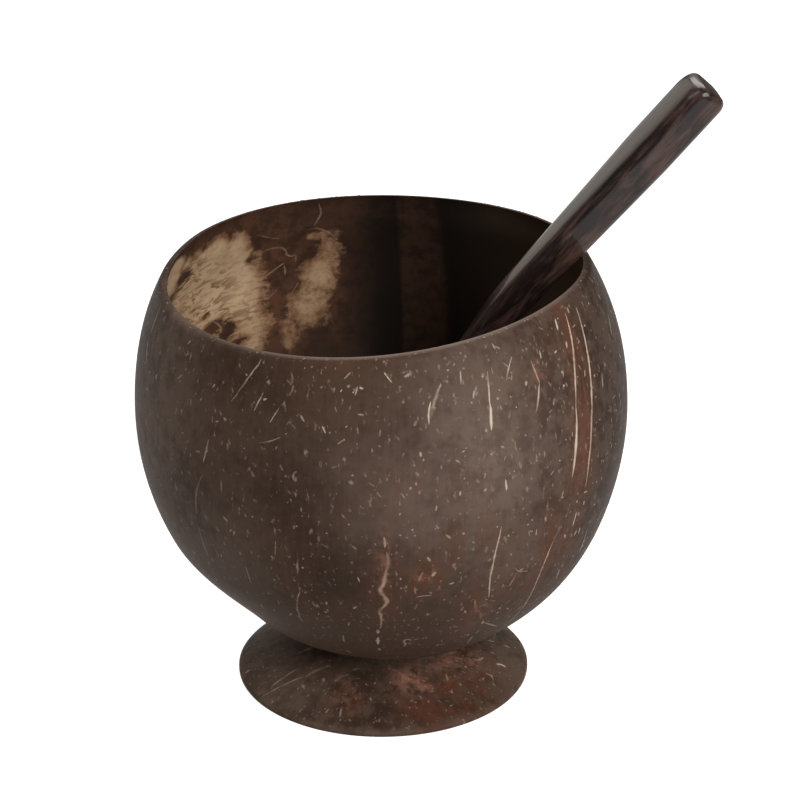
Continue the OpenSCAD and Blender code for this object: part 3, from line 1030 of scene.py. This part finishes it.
# Strands that the photograph shows on the bowl, by pixels along them: width, shade, pink and unevenness
STRANDS = [
    ([(564, 311), (572, 341), (574, 366), (576, 410)], 0.95, 0.9, 0.15, 0.08),
    ([(576, 405), (577, 425), (576, 450), (572, 479)], 1.25, 1.0, 0.0, 0.06),
    ([(575, 305), (585, 341), (592, 394), (591, 430), (585, 489)], 1.0, 0.75, 0.15, 0.08),
    ([(561, 525), (549, 548), (537, 575), (523, 604), (505, 623)], 0.65, 0.65, 0.15, 0.1),
    ([(502, 525), (494, 557), (489, 579), (488, 598)], 0.75, 0.7, 0.15, 0.12),
    ([(384, 536), (385, 542), (385, 549)], 1.1, 0.55, 0.2, 0.1),
    ([(386, 551), (389, 559), (387, 567), (385, 576), (384, 584), (379, 589), (382, 594), (388, 600),
      (385, 605), (379, 610), (382, 617), (380, 630)], 1.4, 0.6, 0.55, 0.15),
    ([(387, 553), (388, 561), (386, 572), (385, 582)], 1.5, 0.5, 0.75, 0.2),
    ([(383, 595), (387, 600), (385, 606)], 1.4, 0.5, 0.3, 0.1),
    ([(383, 606), (379, 609), (382, 614)], 1.3, 0.35, 0.7, 0.15),
    ([(378, 629), (378, 635)], 1.0, 0.5, 0.1, 0.05),
    ([(378, 637), (378, 646)], 1.3, 0.65, 0.05, 0.05),
    ([(378, 649), (381, 652)], 0.9, 0.3, 0.1, 0.05),
    ([(414, 610), (416, 606), (418, 602)], 0.9, 0.25, 0.1, 0.1),
    ([(219, 410), (222, 416)], 0.7, 0.3, 0.0, 0.1),
    ([(223, 417), (227, 421)], 0.7, 0.3, 0.0, 0.1),
    ([(215, 422), (219, 421)], 0.6, 0.25, 0.0, 0.1),
    ([(343, 636), (343, 640), (344, 645)], 0.8, 0.4, 0.1, 0.1),
    ([(403, 648), (406, 644), (403, 641), (408, 639), (412, 641)], 1.1, 0.45, 0.35, 0.15),
    ([(473, 634), (469, 639), (466, 643)], 0.6, 0.5, 0.1, 0.08),
    ([(419, 582), (420, 575), (425, 571)], 0.9, 0.25, 0.6, 0.35),
    ([(427, 581), (430, 575)], 0.8, 0.2, 0.8, 0.3),
    ([(422, 578), (427, 573)], 1.8, 0.1, 1.0, 0.2),
    ([(432, 577), (434, 573), (437, 571)], 1.0, 0.6, 0.1, 0.1),
    ([(297, 559), (298, 575)], 0.9, 0.28, 0.3, 0.2),
    ([(300, 590), (296, 607), (303, 625)], 0.7, 0.37, 0.3, 0.25),
    ([(209, 438), (206, 452), (203, 464)], 0.8, 0.28, 0.0, 0.1),
    ([(203, 474), (196, 492), (197, 515)], 0.8, 0.37, 0.25, 0.12),
    ([(198, 524), (202, 540), (209, 558)], 0.7, 0.28, 0.0, 0.1),
    ([(263, 358), (248, 378), (230, 403)], 0.6, 0.28, 0.0, 0.15),
    ([(264, 391), (253, 412)], 0.5, 0.25, 0.0, 0.1),
    ([(280, 406), (269, 424)], 0.5, 0.25, 0.0, 0.1),
    ([(162, 303), (150, 335)], 0.6, 0.31, 0.0, 0.08),
    ([(148, 339), (146, 366)], 0.8, 0.37, 0.1, 0.08),
    ([(441, 382), (435, 398), (429, 422)], 1.25, 0.3, 0.25, 0.2),
    ([(431, 400), (428, 413), (429, 426)], 0.65, 1.0, 0.0, 0.06),
    ([(487, 369), (489, 400), (491, 412)], 0.7, 0.6, 0.0, 0.06),
    ([(490, 402), (491, 418), (491, 432)], 1.0, 1.0, 0.0, 0.05),
    ([(530, 359), (540, 385)], 0.7, 0.6, 0.2, 0.1),
    ([(539, 382), (538, 400), (536, 414)], 0.7, 0.8, 0.0, 0.06),
    ([(554, 317), (558, 332)], 0.8, 1.0, 0.0, 0.05),
    ([(539, 349), (541, 360)], 0.6, 0.7, 0.0, 0.05),
    ([(512, 355), (508, 368), (506, 382)], 0.45, 0.45, 0.0, 0.1),
    ([(460, 369), (461, 386)], 0.45, 0.5, 0.0, 0.06),
    ([(474, 389), (473, 400)], 0.5, 0.6, 0.0, 0.05),
    ([(607, 309), (612, 337)], 0.6, 0.6, 0.1, 0.05),
    ([(602, 371), (603, 390)], 0.55, 0.6, 0.1, 0.05),
    ([(383, 371), (393, 384)], 0.6, 0.6, 0.0, 0.06),
    ([(352, 371), (343, 380)], 0.55, 0.37, 0.0, 0.06),
    ([(358, 385), (355, 397)], 0.5, 0.31, 0.0, 0.08),
    ([(291, 371), (293, 378), (289, 387)], 0.9, 0.3, 0.5, 0.25),
    ([(294, 384), (291, 394)], 0.7, 0.2, 0.5, 0.2),
    ([(286, 379), (292, 385)], 0.7, 0.2, 0.5, 0.2),
    ([(514, 566), (517, 571), (528, 570)], 0.5, 0.5, 0.45, 0.08),
    ([(517, 571), (507, 587)], 0.55, 0.4, 0.7, 0.08),
    ([(474, 598), (475, 605), (475, 612)], 0.8, 0.3, 0.7, 0.15),
    ([(475, 609), (480, 611), (480, 619)], 1.1, 0.3, 0.7, 0.15),
    ([(480, 606), (489, 601)], 0.5, 0.5, 0.3, 0.1),
    ([(483, 621), (496, 625)], 0.6, 0.55, 0.2, 0.1),
    ([(414, 597), (424, 595), (433, 595)], 0.5, 0.7, 0.2, 0.08),
    ([(577, 511), (572, 527)], 0.7, 0.6, 0.2, 0.06),
    ([(587, 527), (582, 542), (576, 554)], 0.6, 0.55, 0.1, 0.06),
    ([(603, 507), (594, 525)], 0.6, 0.5, 0.1, 0.05),
    ([(561, 500), (564, 490)], 0.5, 0.6, 0.1, 0.05),
    ([(558, 567), (554, 578)], 0.6, 0.7, 0.0, 0.05),
    ([(245, 565), (252, 586)], 0.6, 0.25, 0.1, 0.12),
    ([(259, 604), (264, 612)], 0.6, 0.28, 0.1, 0.06),
    ([(257, 443), (268, 442), (281, 437)], 0.5, 0.31, 0.0, 0.1),
    ([(174, 381), (183, 374)], 0.5, 0.28, 0.0, 0.06),
    ([(506, 478), (507, 492)], 0.7, 0.9, 0.0, 0.05),
    ([(506, 455), (504, 462)], 0.5, 0.6, 0.0, 0.05),
    ([(276, 540), (275, 556)], 0.5, 0.31, 0.0, 0.06),
    ([(360, 583), (357, 576)], 0.5, 0.43, 0.0, 0.05),
    ([(320, 543), (328, 548)], 0.6, 0.31, 0.5, 0.12),
    ([(437, 505), (436, 512)], 0.6, 0.7, 0.0, 0.05),
]

# Long strands on the sides that the photograph doesn't show: their number, and the range of each measure
BACK_STRANDS = 34
BACK_ANGLES = (8, 172)
BACK_HEIGHTS = (-40, 24)
BACK_LENGTHS = (3, 16)
BACK_DRIFT = 3
BACK_BEND = 1
BACK_WIDTHS = (0.45, 0.95)
BACK_SHADES = (0.3, 0.9)
BACK_PINKS = (0, 0.5)
BACK_JAG = 0.15
# Short flecks all round, in the same form
FLECK_COUNT = 1100
FLECK_POINTS = 5
FLECK_LENGTHS = (0.4, 2.2)
FLECK_SHORTNESS = 2.4
FLECK_WIDTHS = (0.4, 0.95)
FLECK_BLUNT = 0.5
FLECK_LEAN = 40
FLECK_LEAST_R = 12
FLECK_LOW_Z = -55
FLECK_DIM_H = 35
FLECK_BELOW_RIM = 0.7
# How close flecks lie: everywhere, and at an angle with a spread and a strength
FLECK_LEAST = 0.3
FLECK_PLACES = [
    (-52, 55, 0.7),
    (120, 50, 0.25),
]
# How bright flecks are: everywhere, more above the dim low part, and more on the right
FLECK_BRIGHT = 0.24
FLECK_BRIGHT_HIGH = 0.2
FLECK_BRIGHT_RIGHT = 0.25
FLECK_RIGHT = -52
FLECK_RIGHT_SPREAD = 50
FLECK_DULLNESS = 1.5
FLECK_PINK_SHARE = 0.15
FLECK_PINK = 0.5
FLECK_PLAIN = 0.12
# Flecks on the rim's top, which cross it from one share of its width to another
RIM_FLECKS = 90
RIM_FLECK_TURN = 1
RIM_FLECK_START = 0.35
RIM_FLECK_ENDS = (0.45, 0.7)
RIM_FLECK_SHADES = (0, 0.4)
RIM_FLECK_PINK = 0.2


def above_dim(z):
    """0 at the bottom of the flecked wall, rising to 1 above its dim part."""
    return float(ease((z - FLECK_LOW_Z) / FLECK_DIM_H))


def fleck_chance(angle, z):
    """Flecks lie closest on the bowl's right half, and are few low on it."""
    near = sum(strength * float(lobe(angle, middle, spread)) for middle, spread, strength in FLECK_PLACES)
    return (FLECK_LEAST + near) * (FLECK_LEAST + (1 - FLECK_LEAST) * above_dim(z))


def fleck_width():
    return tapered(FLECK_POINTS, random.uniform(*FLECK_WIDTHS), FLECK_BLUNT)


def add_back_strand(fibres):
    angle = random.uniform(*BACK_ANGLES)
    z = random.uniform(*BACK_HEIGHTS)
    tall = random.uniform(*BACK_LENGTHS)
    drift = random.uniform(-BACK_DRIFT, BACK_DRIFT)
    middle = angle + drift / 2 + random.uniform(-BACK_BEND, BACK_BEND)
    corners = [(angle, z), (middle, z - tall / 2), (angle + drift, z - tall)]
    width = random.uniform(*BACK_WIDTHS)
    shade = random.uniform(*BACK_SHADES)
    pink = random.uniform(*BACK_PINKS)
    lay_on_wall(fibres, outside, corners, width, shade, pink, BACK_JAG)


def add_fleck(fibres, angle, z):
    short, long = FLECK_LENGTHS
    length = short + (long - short) * random.random() ** FLECK_SHORTNESS
    turn = math.radians(random.gauss(0, FLECK_LEAN))
    around = math.pi / 180 * max(FLECK_LEAST_R, float(nut_radius(z, *OUTER_NUT)))
    across = length * math.sin(turn) / around
    up = length * math.cos(turn)
    path_a = np.linspace(angle - across / 2, angle + across / 2, FLECK_POINTS)
    path_z = np.linspace(z - up / 2, z + up / 2, FLECK_POINTS)
    path_z += np.minimum(0, rim_height(path_a).min() - FLECK_BELOW_RIM - path_z.max())
    points, out = outside(path_a, path_z)
    right = float(lobe(angle, FLECK_RIGHT, FLECK_RIGHT_SPREAD))
    bright = FLECK_BRIGHT + FLECK_BRIGHT_HIGH * above_dim(z) + FLECK_BRIGHT_RIGHT * right
    shade = bright * random.random() ** FLECK_DULLNESS
    pink = FLECK_PINK if random.random() < FLECK_PINK_SHARE else FLECK_PLAIN
    fibres.add(points, out, fleck_width(), shade, pink)


def add_rim_fleck(fibres):
    angle = random.uniform(-180, 180)
    end = angle + random.uniform(-RIM_FLECK_TURN, RIM_FLECK_TURN)
    share = np.linspace(RIM_FLECK_START, random.uniform(*RIM_FLECK_ENDS), FLECK_POINTS)
    points, out = rim_top(np.linspace(angle, end, FLECK_POINTS), share)
    fibres.add(points, out, fleck_width(), random.uniform(*RIM_FLECK_SHADES), RIM_FLECK_PINK)


def make_bowl_fibres(material):
    fibres = Fibres()
    for pixels, width, shade, pink, jag in STRANDS:
        corners = [outside_at(px, py) for px, py in pixels]
        lay_on_wall(fibres, outside, corners, width, shade, pink, jag)
    for _ in range(BACK_STRANDS):
        add_back_strand(fibres)
    flecks = 0
    while flecks < FLECK_COUNT:
        angle = random.uniform(-180, 180)
        z = random.uniform(FLECK_LOW_Z, RIM_H)
        if random.random() <= fleck_chance(angle, z):
            flecks += 1
            add_fleck(fibres, angle, z)
    for _ in range(RIM_FLECKS):
        add_rim_fleck(fibres)
    made, points = fibres.make("bowl_fibres", material)
    paint_outside(made, *angle_and_height(points))
    return made


# Root-like veins on the pale skin inside, by pixels along them: width and shade
VEINS = [
    ([(320, 207), (322, 216), (318, 222), (313, 228)], 1.0, 0.35),
    ([(305, 231), (316, 228), (330, 233), (338, 240)], 1.2, 0.24),
    ([(262, 252), (270, 249), (284, 247), (288, 256)], 1.0, 0.39),
    ([(284, 253), (290, 257), (297, 254)], 1.0, 0.39),
    ([(296, 254), (295, 263)], 0.9, 0.35),
    ([(262, 278), (270, 273), (278, 267), (285, 262)], 1.0, 0.35),
    ([(284, 264), (285, 276)], 0.9, 0.39),
    ([(266, 300), (272, 295), (278, 288)], 0.9, 0.24),
    ([(284, 299), (292, 293), (299, 281)], 0.9, 0.24),
    ([(256, 236), (268, 238), (281, 239)], 1.0, 0.24),
    ([(198, 322), (212, 321), (221, 313), (228, 309)], 1.0, 0.6),
    ([(211, 321), (219, 324), (221, 333)], 0.9, 0.6),
    ([(228, 309), (232, 317), (239, 321)], 0.9, 0.5),
]
VEIN_PINK = 0.3
VEIN_JAG = 0.15


def make_veins(material):
    veins = Fibres()
    for pixels, width, shade in VEINS:
        corners = [inside_at(px, py) for px, py in pixels]
        lay_on_wall(veins, inside, corners, width, shade, VEIN_PINK, VEIN_JAG)
    made, points = veins.make("bowl_veins", material)
    paint_inside(made, *angle_and_height(points))
    return made


# Foot

FOOT_COLUMNS = 240
FOOT_ROWS = 40
FOOT_EDGE_STEPS = 5
# Radius of the ring next to each pole, and the small cut where dome and edge meet
POLE_R = 0.5
EDGE_CUT_W = 0.15
EDGE_CUT_H = 0.1
# Red-brown stains on the foot, by pixels on them: width and strength
FOOT_STAINS = [
    (452, 688, 9, 1.0),
    (430, 705, 8, 0.8),
    (475, 672, 7, 0.7),
    (408, 678, 4, 0.7),
    (348, 698, 4, 0.7),
    (450, 656, 5, 0.7),
]
# Greyer, paler skin on the foot, in the same form
FOOT_PALE = [
    (285, 672, 14, 1.0),
    (505, 668, 10, 0.5),
]
# Paler towards the foot's edge: strength and width
FOOT_EDGE_PALE = 0.55
FOOT_EDGE_PALE_W = 1.8
# Painted light that lifts the shade on the foot next to the bowl's seat: strength, and the width over which
# it fades
FOOT_SEAT_LIGHT = 0.9
FOOT_SEAT_LIGHT_W = 12
# Paler tan blotches on the foot, in the same form
FOOT_BLUSH = [
    (409, 677, 4.5, 1.0),
    (420, 686, 3, 0.7),
    (440, 658, 5.5, 1.0),
    (456, 654, 5, 1.0),
    (345, 699, 3.5, 0.45),
    (343, 679, 3, 0.6),
    (318, 670, 4, 0.4),
    (475, 660, 3, 0.5),
]
# Strands on the foot, by pixels along them: width, shade, pink and unevenness
FOOT_STRANDS = [
    ([(261, 697), (278, 688), (294, 680), (304, 677)], 0.9, 0.4, 0.1, 0.12),
    ([(304, 677), (314, 672), (332, 665)], 1.7, 0.2, 0.0, 0.25),
    ([(301, 682), (305, 690)], 0.8, 0.15, 0.0, 0.1),
    ([(270, 688), (284, 677), (299, 668)], 1.0, 0.25, 0.0, 0.12),
    ([(295, 655), (306, 650), (318, 646)], 1.5, 0.15, 0.0, 0.2),
    ([(333, 682), (340, 677), (351, 674)], 1.4, 0.25, 0.0, 0.25),
    ([(350, 671), (361, 668)], 0.9, 0.2, 0.0, 0.15),
    ([(323, 677), (324, 683)], 1.3, 0.2, 0.0, 0.1),
    ([(342, 706), (341, 711), (339, 719)], 0.8, 0.45, 0.0, 0.06),
    ([(305, 716), (303, 724)], 0.8, 0.3, 0.0, 0.06),
    ([(244, 674), (251, 669)], 1.0, 0.25, 0.0, 0.1),
    ([(404, 670), (413, 672), (420, 686)], 1.2, 0.1, 0.7, 0.3),
    ([(390, 670), (400, 672), (408, 680)], 1.0, 0.1, 0.6, 0.3),
    ([(436, 657), (448, 654), (460, 652)], 1.3, 0.0, 0.8, 0.3),
    ([(416, 658), (430, 657)], 0.7, 0.1, 0.4, 0.15),
    ([(495, 664), (501, 664), (507, 668)], 1.0, 0.7, 0.1, 0.1),
    ([(471, 658), (478, 661), (484, 657)], 1.0, 0.35, 0.2, 0.15),
    ([(486, 640), (496, 642)], 0.7, 0.3, 0.1, 0.1),
    ([(503, 645), (511, 648)], 0.8, 0.3, 0.1, 0.1),
    ([(484, 673), (491, 675), (494, 681)], 0.7, 0.35, 0.2, 0.1),
    ([(446, 673), (448, 682)], 0.9, 0.15, 0.4, 0.1),
]
# How far strands stay inside the foot's edge
FOOT_STRAND_GAP = 0.3
# Short flecks on the foot: their number, and the range of each measure
FOOT_FLECKS = 240
FOOT_FLECK_FROM = 15
FOOT_FLECK_GAP = 1
FOOT_FLECK_END_GAP = 0.4
FOOT_FLECK_LENGTHS = (0.3, 1.2)
FOOT_FLECK_TURN = 30
FOOT_FLECK_WIDTHS = (0.25, 0.5)
FOOT_FLECK_SHADE = 0.5
FOOT_FLECK_PINK = 0.3
FOOT_FLECK_JAG = 0.02


def foot_spots(points, where):
    """The strongest of several soft spots at each point of the foot."""
    total = np.zeros(len(points))
    for px, py, wide, strength in where:
        middle, r = foot_at(px, py)
        place = foot_top(np.array([middle]), np.array([r]))[0][0]
        total = np.maximum(total, strength * np.exp(-(np.linalg.norm(points - place, axis=1) / wide) ** 2))
    return total


def paint_foot(obj, points):
    paint(obj, "stain", foot_spots(points, FOOT_STAINS))
    paint(obj, "blush", foot_spots(points, FOOT_BLUSH))
    paint(obj, "mottled", np.ones(len(points)))
    reach = np.hypot(points[:, 0], points[:, 1])
    pale_edge = FOOT_EDGE_PALE * ease((reach - FOOT_R) / FOOT_EDGE_PALE_W + 1)
    # Painted light, paler next to the seat where the bowl shades the foot
    seat_light = FOOT_SEAT_LIGHT * (1 - ease((reach - SEAT_R) / FOOT_SEAT_LIGHT_W))
    paint(obj, "pale", np.maximum(np.maximum(pale_edge, seat_light), foot_spots(points, FOOT_PALE)))


def make_foot(skin):
    angle = np.arange(FOOT_COLUMNS) * 360 / FOOT_COLUMNS
    a = np.radians(angle)

    def level(r, z):
        return np.stack([r * np.cos(a), r * np.sin(a), np.full(FOOT_COLUMNS, z)], axis=-1)

    inner_r = CAP_R - FOOT_T
    stand_r = math.sqrt(inner_r ** 2 - CAP_Z ** 2)
    rows = [level(POLE_R, FOOT_SEAT_Z)]
    rows += [foot_top(angle, r)[0] for r in np.linspace(SEAT_R, FOOT_R - EDGE_CUT_W, FOOT_ROWS)]
    rows += [level(FOOT_R, FOOT_EDGE_H - EDGE_CUT_H), level(FOOT_R, FOOT_EDGE_ROUND)]
    for step in range(1, FOOT_EDGE_STEPS + 1):
        turn = step / FOOT_EDGE_STEPS * math.pi / 2
        drawn_in = FOOT_EDGE_ROUND * (1 - math.cos(turn))
        rows.append(level(FOOT_R - drawn_in, FOOT_EDGE_ROUND * (1 - math.sin(turn))))
    for r in np.linspace(stand_r, POLE_R, FOOT_ROWS):
        rows.append(level(r, CAP_Z + math.sqrt(inner_r ** 2 - r ** 2)))
    points = np.concatenate(rows)
    count = len(rows)
    top_pole = len(points)
    points = np.concatenate([points, [[0, 0, FOOT_SEAT_Z], [0, 0, CAP_Z + inner_r]]])
    faces = [tuple(reversed(f)) for f in ring_faces(count, FOOT_COLUMNS)]
    faces += cap_faces(0, FOOT_COLUMNS, top_pole, False)
    faces += cap_faces((count - 1) * FOOT_COLUMNS, FOOT_COLUMNS, top_pole + 1, True)
    foot = make_object("foot", points, faces, [skin])
    paint_foot(foot, points)
    return foot


def lay_on_foot(fibres, corners, width, shade, pink, jag):
    """A strand through places given as angle and radius on the foot's dome."""
    flat = [(r * math.cos(math.radians(a)), r * math.sin(math.radians(a))) for a, r in corners]
    path = smooth_path(flat, FIBRE_STEP)
    path[:, 1] += wander(len(path), jag)
    angle = np.degrees(np.arctan2(path[:, 1], path[:, 0]))
    r = np.minimum(np.hypot(path[:, 0], path[:, 1]), FOOT_R - FOOT_STRAND_GAP)
    points, out = foot_top(angle, r)
    fibres.add(points, out, tapered(len(path), width, STRAND_BLUNT), shade, pink)


def make_foot_fibres(material):
    fibres = Fibres()
    for pixels, width, shade, pink, jag in FOOT_STRANDS:
        lay_on_foot(fibres, [foot_at(px, py) for px, py in pixels], width, shade, pink, jag)
    for _ in range(FOOT_FLECKS):
        angle = random.uniform(-180, 180)
        r = math.sqrt(random.uniform(FOOT_FLECK_FROM ** 2, (FOOT_R - FOOT_FLECK_GAP) ** 2))
        length = random.uniform(*FOOT_FLECK_LENGTHS)
        turn = random.uniform(-FOOT_FLECK_TURN, FOOT_FLECK_TURN)
        end = (angle + turn / r, min(r + length, FOOT_R - FOOT_FLECK_END_GAP))
        width = random.uniform(*FOOT_FLECK_WIDTHS)
        shade = random.random() * FOOT_FLECK_SHADE
        lay_on_foot(fibres, [(angle, r), end], width, shade, FOOT_FLECK_PINK, FOOT_FLECK_JAG)
    made, points = fibres.make("foot_fibres", material)
    paint_foot(made, points)
    return made


# Spoon

SPOON_STATIONS = 150
SECTION_POINTS = 72
# How much the stations crowd towards both ends, then the first ones as shares of END_L and the last ones
# as shares of SPOON_L
STATION_CROWDING = 0.35
END_STATIONS = (0, 0.01, 0.04, 0.09, 0.16)
TIP_STATIONS = (0.9985, 0.9995)


def swell(x, start, middle, end):
    """Rises from 0 at one place to 1 at another, and falls to 0 at a third as the nose of an ellipse does."""
    nose = np.sqrt(np.maximum(0, 1 - ((x - middle) / (end - middle)) ** 2))
    return np.where(x < middle, ease((x - start) / (middle - start)), nose)


NECK_X = SPOON_L - LADLE_L
WIDEST_X = SPOON_L - NOSE_L


def into_ladle(x):
    """0 along the handle, rising to 1 where the ladle is widest."""
    return ease((x - NECK_X) / (WIDEST_X - NECK_X))


def handle_half(x, grip, neck, end_l, end_draw):
    """Half of the handle's width or thickness, which tapers to the neck and is drawn in at the end."""
    taper = np.clip((x - GRIP_L) / (NECK_X - GRIP_L), 0, 1)
    drawn_in = end_draw * (1 - np.sqrt(1 - np.clip(1 - x / end_l, 0, 1) ** 2))
    return (grip + (neck - grip) * taper) / 2 - drawn_in


def section(x):
    """Points round the spoon at one place along it: underside, lip, top and lip again."""
    share = into_ladle(x)
    wide = handle_half(x, HANDLE_W, NECK_W, CORNER_L, CORNER_DRAW)
    half_w = np.hypot(wide * (1 - share), LADLE_W / 2 * swell(x, NECK_X, WIDEST_X, SPOON_L))
    thick = handle_half(x, HANDLE_T, NECK_T, END_L, END_DRAW)
    deep_thick = handle_half(x, HANDLE_T, NECK_T, CORNER_L, CORNER_DRAW)
    dip = ease((x - NECK_X + DIP_L) / (DIP_L + NECK_L))
    top = thick * (1 - dip) - LADLE_DEPTH * swell(x, NECK_X + NECK_L, WIDEST_X, SPOON_L - LIP_W)
    keel = np.hypot(deep_thick * (1 - share), (LADLE_DEPTH + LADLE_T) * swell(x, NECK_X, WIDEST_X, SPOON_L))
    hollow_w = max(half_w / 2, half_w - LIP_W * share)
    power = 2 / (HANDLE_POWER + (2 - HANDLE_POWER) * share)
    turn = np.linspace(0, np.pi, SECTION_POINTS // 2 + 1)
    across = np.sign(np.cos(turn)) * np.abs(np.cos(turn)) ** power
    deep = np.abs(np.sin(turn)) ** power
    under = np.stack([half_w * across, -keel * deep], axis=1)
    upper = np.stack([hollow_w * across[::-1], top * deep[::-1]], axis=1)[1:-1]
    outline = np.concatenate([under, upper])
    return np.column_stack([np.full(len(outline), x), outline])


def spoon_place():
    """Where the spoon rests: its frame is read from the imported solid's handle end and the known slopes."""
    axes = LEAN @ turned("Z", SPOON_TURN) @ turned("Z", 180) @ turned("Y", SPOON_TILT)
    solid = np.array([v.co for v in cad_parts["spoon"].data.vertices]) / MM
    local = solid @ axes
    start = local[:, 0].min()
    grip = local[(local[:, 0] > start + END_L) & (local[:, 0] < start + GRIP_L)]
    across = (grip[:, 1].min() + grip[:, 1].max()) / 2
    level = (grip[:, 2].min() + grip[:, 2].max()) / 2
    origin = axes @ np.array([start, across, level])
    return Matrix.Translation(Vector(origin * MM)) @ Matrix(axes.tolist()).to_4x4()


def make_spoon(wood, end_grain):
    t = np.linspace(0, 1, SPOON_STATIONS)
    ends = (1 - np.cos(np.pi * t)) / 2
    stations = SPOON_L * (STATION_CROWDING * ends + (1 - STATION_CROWDING) * t)
    stations = np.concatenate([END_L * np.array(END_STATIONS), stations[1:-1]])
    stations = np.unique(np.append(stations, SPOON_L * np.array(TIP_STATIONS)))
    rings = [section(x) for x in stations]
    columns = len(rings[0])
    points = np.concatenate(rings + [[[0, 0, 0], [SPOON_L, 0, 0]]])
    last = (len(rings) - 1) * columns
    faces = [tuple(reversed(f)) for f in ring_faces(len(rings), columns)]
    faces += cap_faces(0, columns, len(points) - 2, False)
    faces += cap_faces(last, columns, len(points) - 1, True)
    face_slots = [1 if i < columns else 0 for i in range(columns * (len(rings) - 1))]
    face_slots += [1] * columns + [0] * columns
    spoon = make_object("spoon_body", points, faces, [wood, end_grain], face_slots)
    spoon.matrix_world = spoon_place()
    return spoon


# Stage

FLOOR_R = 4000
FLOOR_SIDES = 96
FLOOR_GLOW = 0.95
FLOOR_ROUGHNESS = 0.9
WORLD_STRENGTH = 0.12
LAMP_TARGET_H = 70
# Soft square lamps: name, azimuth and rise, how far away and how wide in metres, power and tint
LAMPS = [
    ("key", 32, 32, 1.1, 0.6, 12, (1, 1, 1)),
    ("fill", -80, 60, 1.4, 0.8, 5, (1, 0.97, 0.93)),
    ("rear", 175, 38, 1.5, 0.8, 9, (1, 0.97, 0.93)),
    ("back", -150, 14, 1.6, 0.9, 2.6, (1, 0.93, 0.83)),
]


def make_floor():
    """A pale floor that is white to the camera, and still takes the object's shadow."""
    bpy.ops.mesh.primitive_circle_add(vertices=FLOOR_SIDES, radius=FLOOR_R * MM, fill_type="NGON")
    floor = bpy.context.object
    floor.name = "floor"
    s = Shader("floor")
    s.finish(FLOOR_GREY, FLOOR_ROUGHNESS, Specular_IOR_Level=0.0, Emission_Color=rgb(*WHITE))
    path = s.add("ShaderNodeLightPath")
    seen = s.most(path.outputs["Is Camera Ray"], path.outputs["Is Glossy Ray"])
    seen = s.most(seen, path.outputs["Is Transmission Ray"])
    s.put(s.surface.inputs["Emission Strength"], s.times(seen, FLOOR_GLOW))
    floor.data.materials.append(s.material)


def make_world():
    """Even white light from all round."""
    world = bpy.data.worlds.new("studio")
    bpy.context.scene.world = world
    world.use_nodes = True
    background = world.node_tree.nodes["Background"]
    background.inputs["Color"].default_value = rgb(*WHITE)
    background.inputs["Strength"].default_value = WORLD_STRENGTH


def make_light(name, azimuth, rise_angle, away, size, power, tint):
    """A square soft lamp round the object. Azimuth 0 is the camera's side and 90 the right."""
    a = math.radians(azimuth)
    e = math.radians(rise_angle)
    middle = Vector((0, 0, LAMP_TARGET_H * MM))
    back = Vector((math.sin(a) * math.cos(e), -math.cos(a) * math.cos(e), math.sin(e)))
    data = bpy.data.lights.new(name, "AREA")
    data.size = size
    data.energy = power
    data.color = tint
    lamp = bpy.data.objects.new(name, data)
    lamp.location = middle + back * away
    lamp.rotation_mode = "QUATERNION"
    lamp.rotation_quaternion = (-back).to_track_quat("-Z", "Y")
    bpy.context.scene.collection.objects.link(lamp)


# Assembly

make_camera()
bpy.context.scene.view_settings.view_transform = "Standard"

bowl = make_bowl(shell_material("shell outside", BOWL_TONES, upright=True), inside_material("shell inside"))
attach(bowl, "cup")
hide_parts("bowl_shell")

bowl_fibres = make_bowl_fibres(shell_material("shell fibre", BOWL_TONES, True, FIBRE_TONES))
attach(bowl_fibres, "cup")

veins = make_veins(inside_material("inside vein", VEIN_TONES))
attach(veins, "cup")

foot = make_foot(shell_material("foot shell", FOOT_TONES))
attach(foot, "cup")
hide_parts("foot_shell")

foot_fibres = make_foot_fibres(shell_material("foot fibre", FOOT_TONES, False, FIBRE_TONES))
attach(foot_fibres, "cup")

spoon = make_spoon(spoon_material(), end_material())
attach(spoon, "spoon")
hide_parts("spoon")

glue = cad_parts["glue_bond"]
glue.data.materials.clear()
glue.data.materials.append(glue_material())

make_floor()
make_world()
for lamp in LAMPS:
    make_light(*lamp)
